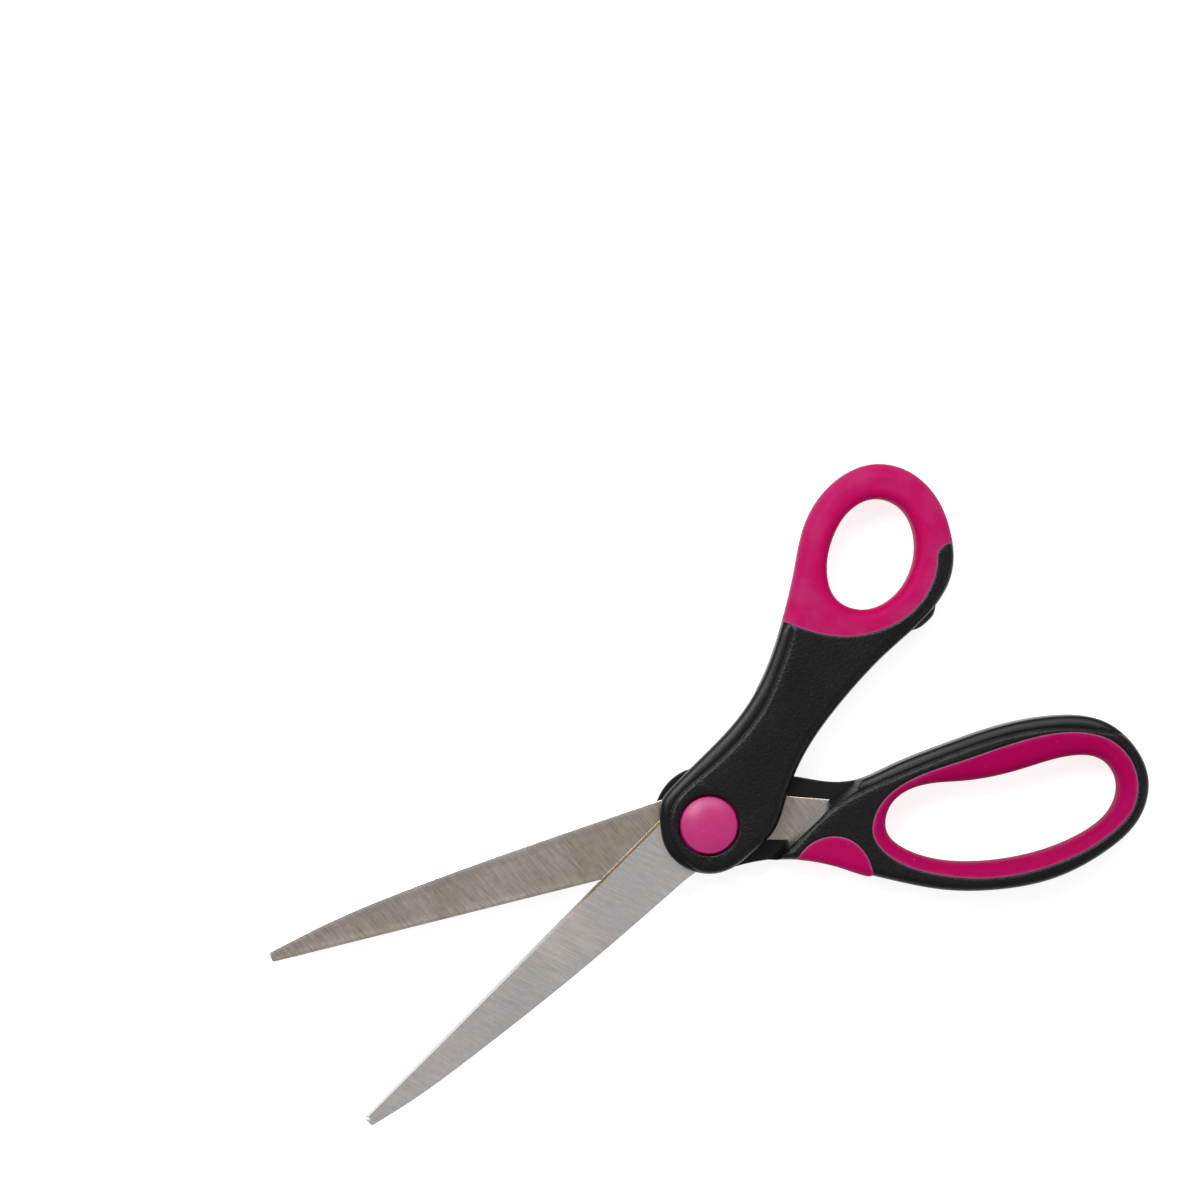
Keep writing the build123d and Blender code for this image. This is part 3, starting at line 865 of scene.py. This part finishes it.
def rear_handle(outline):
    def seam(plan):
        return seam_drop(to_loop(plan, FINGER_RING)) + seam_drop(distance_to(plan, PAD_BORDER))

    def top(plan):
        return rear_top(plan) - np.where(side_of(plan, REAR_STEP) > 1, seam(plan), 0)

    def grain(plan, z, side):
        above_step = z > REAR_INNER + 0.5
        on_top = smooth_step(-GRAIN_BLEND, GRAIN_BLEND, side_of(plan, RIM_LINE)) * above_step
        return grain_share(on_top, z, side)

    ledge_line = REAR_OUTLINE - outward_normals(REAR_OUTLINE) * (LEDGE_IN + LEDGE_WALL / 2)
    round_tang = REAR_BLADE + outward_normals(REAR_BLADE) * 2 * POCKET_MARGIN
    handle = relief(
        "rear_handle_shell", [outline, FINGER_RING], top, lambda plan: rear_bottom(plan) + seam(plan), BLACK,
        "rear_half", wall=PART_LINE, masks={"grain": grain},
        creases=[(REAR_STEP, WALL_OFFSETS), (RIM_LINE, LINE_OFFSETS),
                 (ledge_line, (-LEDGE_WALL / 2, LEDGE_WALL / 2)), (REAR_BLADE, ()), (round_tang, ()),
                 (circle(HEAD_RADIUS), ()), (circle(HEAD_RADIUS + 2 * POCKET_MARGIN), (0.2,))],
    )
    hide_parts("rear_handle")


def finger_ring():
    """The soft ring, leaning down from its border towards the hole."""
    def top(plan):
        outer, hole = to_loop(plan, FINGER_RING), to_loop(plan, FINGER_HOLE)
        width = outer + hole
        share = outer / np.maximum(width, 1e-6)
        lean = RING_LEAN * np.minimum(width, RING_LEAN_WIDTH) * share ** RING_LEAN_POWER
        lip = edge_drop(outer, *RING_LIP)
        rounding = np.clip(RING_EDGE_SHARE * width, *RING_EDGE_LIMITS)
        return TOP - RING_SUNK - lean - lip - edge_drop(hole, rounding, RING_EDGE_HEIGHT)

    # painted shade: deepest in the ring's middle, paler towards its border and the hole as a painted sheen
    def rub_and_painted_shade(plan, z, side):
        outer, hole = to_loop(plan, FINGER_RING), to_loop(plan, FINGER_HOLE)
        return smooth_step(0.2, 1.2, outer) * (0.35 + 0.65 * smooth_step(0, 1.0, hole))

    grip = relief("finger_ring_grip", [FINGER_RING, FINGER_HOLE], top, lambda plan: TOP - top(plan),
                  RING_MAGENTA, "rear_half", wall=((0.25, 0.15), (0.5, 0.2), (0.75, 0.15)),
                  masks={"rub_and_painted_shade": rub_and_painted_shade, "seam": seam_highlight_mask(FINGER_RING, True)})
    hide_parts("rear_bow_grip")


def index_finger_pad(outline):
    """The half moon, wrapped over the lower edge, with a slight nub at its bow end."""
    def proud(plan):
        off_border = smooth_step(0.3, 1.2, distance_to(plan, PAD_BORDER))
        return (PAD_PROUD + NUB_PROUD * smooth_step(*NUB_X, plan[:, 0])) * off_border

    swollen = outline + outward_normals(outline) * proud(outline)[:, None]

    def top(plan):
        edge = np.maximum(depth_in(plan, REAR_OUTLINE) + proud(plan), 0)
        lip = edge_drop(distance_to(plan, PAD_BORDER), *PAD_LIP)
        return TOP - PAD_SUNK - lip - edge_drop(edge, HARD_EDGE[0] + NUB_PROUD, HARD_EDGE[1])

    # painted shade: deeper inside the half moon, paler along its edges as a painted sheen
    def rub_and_painted_shade(plan, z, side):
        return smooth_step(0.2, 1.0, to_loop(plan, swollen))

    pad = relief("index_finger_half_moon", [swollen], top, lambda plan: TOP - top(plan), PAD_MAGENTA,
                 "rear_half", masks={"rub_and_painted_shade": rub_and_painted_shade, "seam": seam_highlight_mask(PAD_BORDER)})
    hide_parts("index_finger_pad")


# ---- blades ----
def blade(name, node, outline, cut, spine, tip_x, inner, outward, material, body, turned):
    """A ground blade: flat inner face, bevelled edge, slight hollow grind, thinner towards the tip."""
    def face_stock(x):
        share = np.clip((x - TAPER_START_X) / (tip_x - TAPER_START_X), 0, 1)
        return BLADE_STOCK - share * (BLADE_STOCK - TIP_STOCK)

    def bevel_reach(x):
        """The bevel's width, which is narrower where the blade is thinner."""
        return BEVEL_WIDTH * (face_stock(x) - EDGE_LAND) / (BLADE_STOCK - EDGE_LAND)

    def chamfer(plan):
        return np.maximum(CHAMFER - to_loop(plan, outline), 0)

    def stock(plan):
        full = face_stock(plan[:, 0]) - chamfer(plan)
        bevel = EDGE_LAND + distance_to(plan, cut) * (BLADE_STOCK - EDGE_LAND) / BEVEL_WIDTH
        return np.where(plan[:, 0] < BEVEL_START_X, np.minimum(full, bevel), full)

    def hollow(plan):
        """How far the inner face is ground below the band along its spine."""
        in_blade = 1 - smooth_step(*HOLLOW_FADE_X, plan[:, 0])
        off_spine = smooth_step(SPINE_BAND, SPINE_BAND + 0.3, distance_to(plan, spine))
        off_cut = smooth_step(0.6, 1.6, distance_to(plan, cut))
        return GRIND_DEPTH * off_spine * off_cut * in_blade + chamfer(plan) * (off_cut > 0)

    def outer_face(plan):
        return inner + outward * stock(plan)

    def inner_face(plan):
        return inner + outward * hollow(plan)

    # painted warm highlight on the bevel, fading towards the tip
    def painted_bevel_highlight(plan, z, side):
        on_bevel = (distance_to(plan, cut) < bevel_reach(plan[:, 0]) - 0.05) & (plan[:, 0] < BEVEL_START_X)
        share = on_bevel * (0.25 + 0.75 * smooth_step(*BRIGHT_EDGE_X, plan[:, 0]))
        return np.where(side * outward > 0, share, 0.0)

    def painted_spine_reflection(plan, z, side):
        """The narrow band along the spine of the inner face, lighter as a painted reflection."""
        near_spine = 1 - smooth_step(0.7, SPINE_BAND, distance_to(plan, spine))
        return 0.45 * near_spine * (side * outward < 0)

    inwards = math.copysign(1, -cut[0][1])
    bevel_line = cut[1:-1] + np.column_stack([0 * cut[1:-1, 0], inwards * bevel_reach(cut[1:-1, 0])])
    top, bottom = (outer_face, inner_face) if outward > 0 else (inner_face, outer_face)
    piece = relief(name, [outline], top, bottom, material, body, turned,
                   creases=[(bevel_line, (-0.15, 0.15))],
                   masks={"painted_bevel_highlight": painted_bevel_highlight, "painted_spine_reflection": painted_spine_reflection})
    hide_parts(node)


# ---- the front half ----
def front_plan(plan):
    """What both faces of the front handle share: distance to its edge, share of the bow, the hole's rim."""
    edge = to_loop(plan, FRONT_OUTLINE)
    hole = to_loop(plan, THUMB_HOLE)
    in_bow = smooth_step(-BLEND_ON_ARM, BLEND_ON_BOW, side_of(plan, THUMB_BORDER))
    lean = HOLE_BAND_DROP * (1 - smooth_step(0, HOLE_BAND, hole))
    return edge, in_bow, lean, edge_drop(hole, *HOLE_EDGE)


def front_face(plan):
    """The front handle's upper surface, shared by the hard arm and the soft bow."""
    edge, in_bow, lean, rim = front_plan(plan)
    arm = handle_face(edge, depth_in(plan, PLATEAU))
    bow = TOP - edge_drop(edge, *SOFT_EDGE)
    return arm + (bow - arm) * in_bow - lean - rim - SOFT_PROUD


def front_underside(plan):
    """The front handle's flat underside, with the same change of edge from the hard arm to the soft bow."""
    edge, in_bow, lean, rim = front_plan(plan)
    hard = edge_drop(edge, *HARD_EDGE)
    soft = edge_drop(edge, *SOFT_EDGE)
    return hard + (soft - hard) * in_bow + lean + rim


def front_arm_top(plan):
    to_axis = np.linalg.norm(plan, axis=1)
    well_lip = edge_drop(to_axis - WELL_RADIUS, *WELL_LIP)
    face = front_face(plan) - well_lip - seam_drop(distance_to(plan, THUMB_BORDER))
    return np.where(to_axis < WELL_RADIUS + POCKET_MARGIN, WELL_FLOOR, face)


def front_arm_bottom(plan):
    """The same stepped face as the rear half's, upside down."""
    edge = to_loop(plan, FRONT_OUTLINE)
    full = front_underside(plan) + seam_drop(distance_to(plan, THUMB_BORDER))
    pocket = FRONT_OUTER + POCKET_MARGIN
    return -stepped_face(plan, -full, edge, FRONT_STEP, -FRONT_INNER, FRONT_BLADE, -pocket)


def front_handle(outline):
    def grain(plan, z, side):
        above_well = z > FRONT_OUTER + 2
        on_top = smooth_step(-GRAIN_BLEND, GRAIN_BLEND, depth_in(plan, PLATEAU)) * above_well
        return grain_share(on_top, z, side)

    round_tang = FRONT_BLADE + outward_normals(FRONT_BLADE) * 2 * POCKET_MARGIN
    arm = relief(
        "front_handle_shell", [outline], front_arm_top, front_arm_bottom, BLACK, "front_half", turned=True,
        wall=PART_LINE, masks={"grain": grain},
        creases=[(PLATEAU, LINE_OFFSETS), (circle(WELL_RADIUS), ()),
                 (circle(WELL_RADIUS + 2 * POCKET_MARGIN), (0.1, 0.25)), (FRONT_STEP, WALL_OFFSETS),
                 (FRONT_BLADE, ()), (round_tang, ())],
    )
    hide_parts("front_handle")


def thumb_bow(outline):
    def top(plan):
        proud = SOFT_PROUD * smooth_step(0, 0.3, distance_to(plan, THUMB_BORDER))
        return front_face(plan) + proud - 0.5 * seam_drop(distance_to(plan, THUMB_BORDER))

    def bottom(plan):
        return front_underside(plan) + 0.5 * seam_drop(distance_to(plan, THUMB_BORDER))

    # painted shade: deeper on the rim that leans into the thumb hole
    def rub_and_painted_shade(plan, z, side):
        hole = to_loop(plan, THUMB_HOLE)
        return 1 - smooth_step(1.4, HOLE_BAND + 1.2, hole)

    bow = relief("thumb_bow_grip", [outline, THUMB_HOLE], top, bottom, THUMB_MAGENTA, "front_half",
                 turned=True, masks={"rub_and_painted_shade": rub_and_painted_shade, "seam": seam_highlight_mask(THUMB_BORDER)})
    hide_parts("front_bow_grip")


def closing_bumper():
    """A small nub on the thumb bow's flank, rooted in the handle."""
    start, end = (67.2, 3.3), (76.2, 3.6)
    nub = open_curve([start, (69.4, 2.2), (71.8, 2.0), (74.2, 2.3), end])
    root = straight_path([end, (74.6, 5.0), (69.0, 5.0), start])
    outline = anticlockwise(np.vstack([nub[:-1], root[:-1]]))
    low, high = level("closing_bumper", 0), level("closing_bumper", 1)

    def top(plan):
        return high - edge_drop(distance_to(plan, nub), *BUMPER_EDGE)

    bumper = relief("closing_bumper_nub", [outline], top, lambda plan: low + high - top(plan), RUBBER,
                    "front_half", turned=True)
    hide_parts("closing_bumper")


# ---- the pivot ----
def pivot_cap():
    """A shallow satin dome with a rounded rim, over a snap bead."""
    foot = level("pivot_cap", 0)
    rim_width, rim_low = 0.6, CAP_CROWN - 1.75
    dome_radius, dome_level = CAP_RADIUS - rim_width, CAP_CROWN - 1.15
    bead_radius, bead_top, bead_end = WELL_RADIUS - 0.02, foot + 0.4, foot + 0.8
    rim_steps, dome_steps, dome_power = 8, 12, 2.2
    profile = [(AXIS_GAP, foot), (bead_radius, foot), (bead_radius, bead_top), (CAP_RADIUS, bead_end),
               (CAP_RADIUS, rim_low)]
    for step in range(1, rim_steps):
        angle = math.radians(90 * step / rim_steps)
        profile.append((dome_radius + rim_width * math.cos(angle),
                        rim_low + (dome_level - rim_low) * math.sin(angle)))
    for step in range(dome_steps):
        share = 1 - step / dome_steps
        profile.append((dome_radius * share, CAP_CROWN - (CAP_CROWN - dome_level) * share ** dome_power))
    profile.append((AXIS_GAP, CAP_CROWN))
    cap = turned_shape("pivot_cap_dome", profile, CAP_PINK, "front_half")
    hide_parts("pivot_cap")


def bolt_head():
    """The bolt: a chamfered flat head on the underside with a small centre dimple, shank and thread."""
    low, high = level("pivot_bolt", 0), level("pivot_bolt", 1)
    head_top, nut_low = low + HEAD_HEIGHT, level("pivot_nut", 0)
    dimple, shank, thread, thread_end = 0.12, 2.6, 2.0, 1.8
    profile = [(AXIS_GAP, low + dimple), (0.9, low + dimple), (1.1, low), (HEAD_RADIUS - 0.45, low),
               (HEAD_RADIUS - 0.15, low + 0.12), (HEAD_RADIUS, low + 0.4), (HEAD_RADIUS, head_top),
               (shank, head_top), (shank, nut_low), (thread, nut_low), (thread, high - 0.2),
               (thread_end, high), (AXIS_GAP, high)]
    bolt = turned_shape("pivot_bolt_turned", profile, BRIGHT, "rear_half")
    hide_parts("pivot_bolt")


def hidden_hardware():
    """The washers and the nut keep their CAD shapes, in the same turned steel as the bolt."""
    for node in ("flat_washer", "spring_washer", "pivot_nut"):
        for slot in bpy.data.objects[node].material_slots:
            slot.material = BRIGHT


def build_scissors():
    pad_outline, rear_outline = split_loop(REAR_OUTLINE, PAD_BORDER[::-1])
    bow_outline, arm_outline = split_loop(FRONT_OUTLINE, THUMB_BORDER)
    rear_handle(rear_outline)
    finger_ring()
    index_finger_pad(pad_outline)
    blade("rear_blade_ground", "rear_blade", REAR_BLADE, REAR_CUT, REAR_SPINE,
          REAR_TIP_X, REAR_INNER, -1, REAR_STEEL, "rear_half", False)
    bolt_head()
    front_handle(arm_outline)
    thumb_bow(bow_outline)
    blade("front_blade_ground", "front_blade", FRONT_BLADE, FRONT_CUT, FRONT_SPINE,
          FRONT_TIP_X, FRONT_INNER, 1, FRONT_STEEL, "front_half", True)
    closing_bumper()
    pivot_cap()
    hidden_hardware()


# ---- floor, light and camera ----
def floor():
    mesh = bpy.data.meshes.new("floor")
    corners = [(x * FLOOR_REACH, y * FLOOR_REACH, 0) for x, y in ((-1, -1), (1, -1), (1, 1), (-1, 1))]
    mesh.from_pydata(corners, [], [(0, 1, 2, 3)])
    mesh.materials.append(pale_floor())
    ground = bpy.data.objects.new("floor", mesh)
    bpy.context.scene.collection.objects.link(ground)


def area_light(name, right, up, height, size, power):
    """A rectangular soft light, placed by its offset in the picture and aimed at the scissors."""
    light = bpy.data.lights.new(name, "AREA")
    light.shape = "RECTANGLE"
    light.size, light.size_y = size
    light.energy = power
    lamp = bpy.data.objects.new(name, light)
    lamp.location = VIEW_CENTRE + IMAGE_RIGHT * right + IMAGE_UP * up + Vector((0, 0, height))
    lamp.rotation_euler = (VIEW_CENTRE - lamp.location).to_track_quat("-Z", "Y").to_euler()
    bpy.context.scene.collection.objects.link(lamp)


def camera():
    lens = bpy.data.cameras.new("camera")
    lens.sensor_width = SENSOR_WIDTH
    lens.lens = SENSOR_WIDTH * CAMERA_HEIGHT / VIEW_WIDTH
    viewer = bpy.data.objects.new("camera", lens)
    viewer.location = VIEW_CENTRE + Vector((0, 0, CAMERA_HEIGHT))
    viewer.rotation_euler = (0, 0, VIEW_TURN)
    bpy.context.scene.collection.objects.link(viewer)
    bpy.context.scene.camera = viewer


def studio():
    """Soft light from the sides, with an even grey overhead for the flat faces to reflect."""
    area_light("key", right=-0.5, up=0.54, height=1.1, size=(0.6, 0.4), power=12)
    area_light("back_rim", right=0.15, up=0.8, height=1.15, size=(1.0, 0.35), power=7.5)
    area_light("right_fill", right=1.1, up=-0.4, height=0.8, size=(0.7, 0.5), power=2)
    world = bpy.data.worlds.new("studio")
    world.use_nodes = True
    background = world.node_tree.nodes["Background"]
    background.inputs["Color"].default_value = (1, 1, 1, 1)
    background.inputs["Strength"].default_value = WORLD_STRENGTH
    bpy.context.scene.world = world
    bpy.context.scene.view_settings.view_transform = "Standard"


build_scissors()
floor()
camera()
studio()
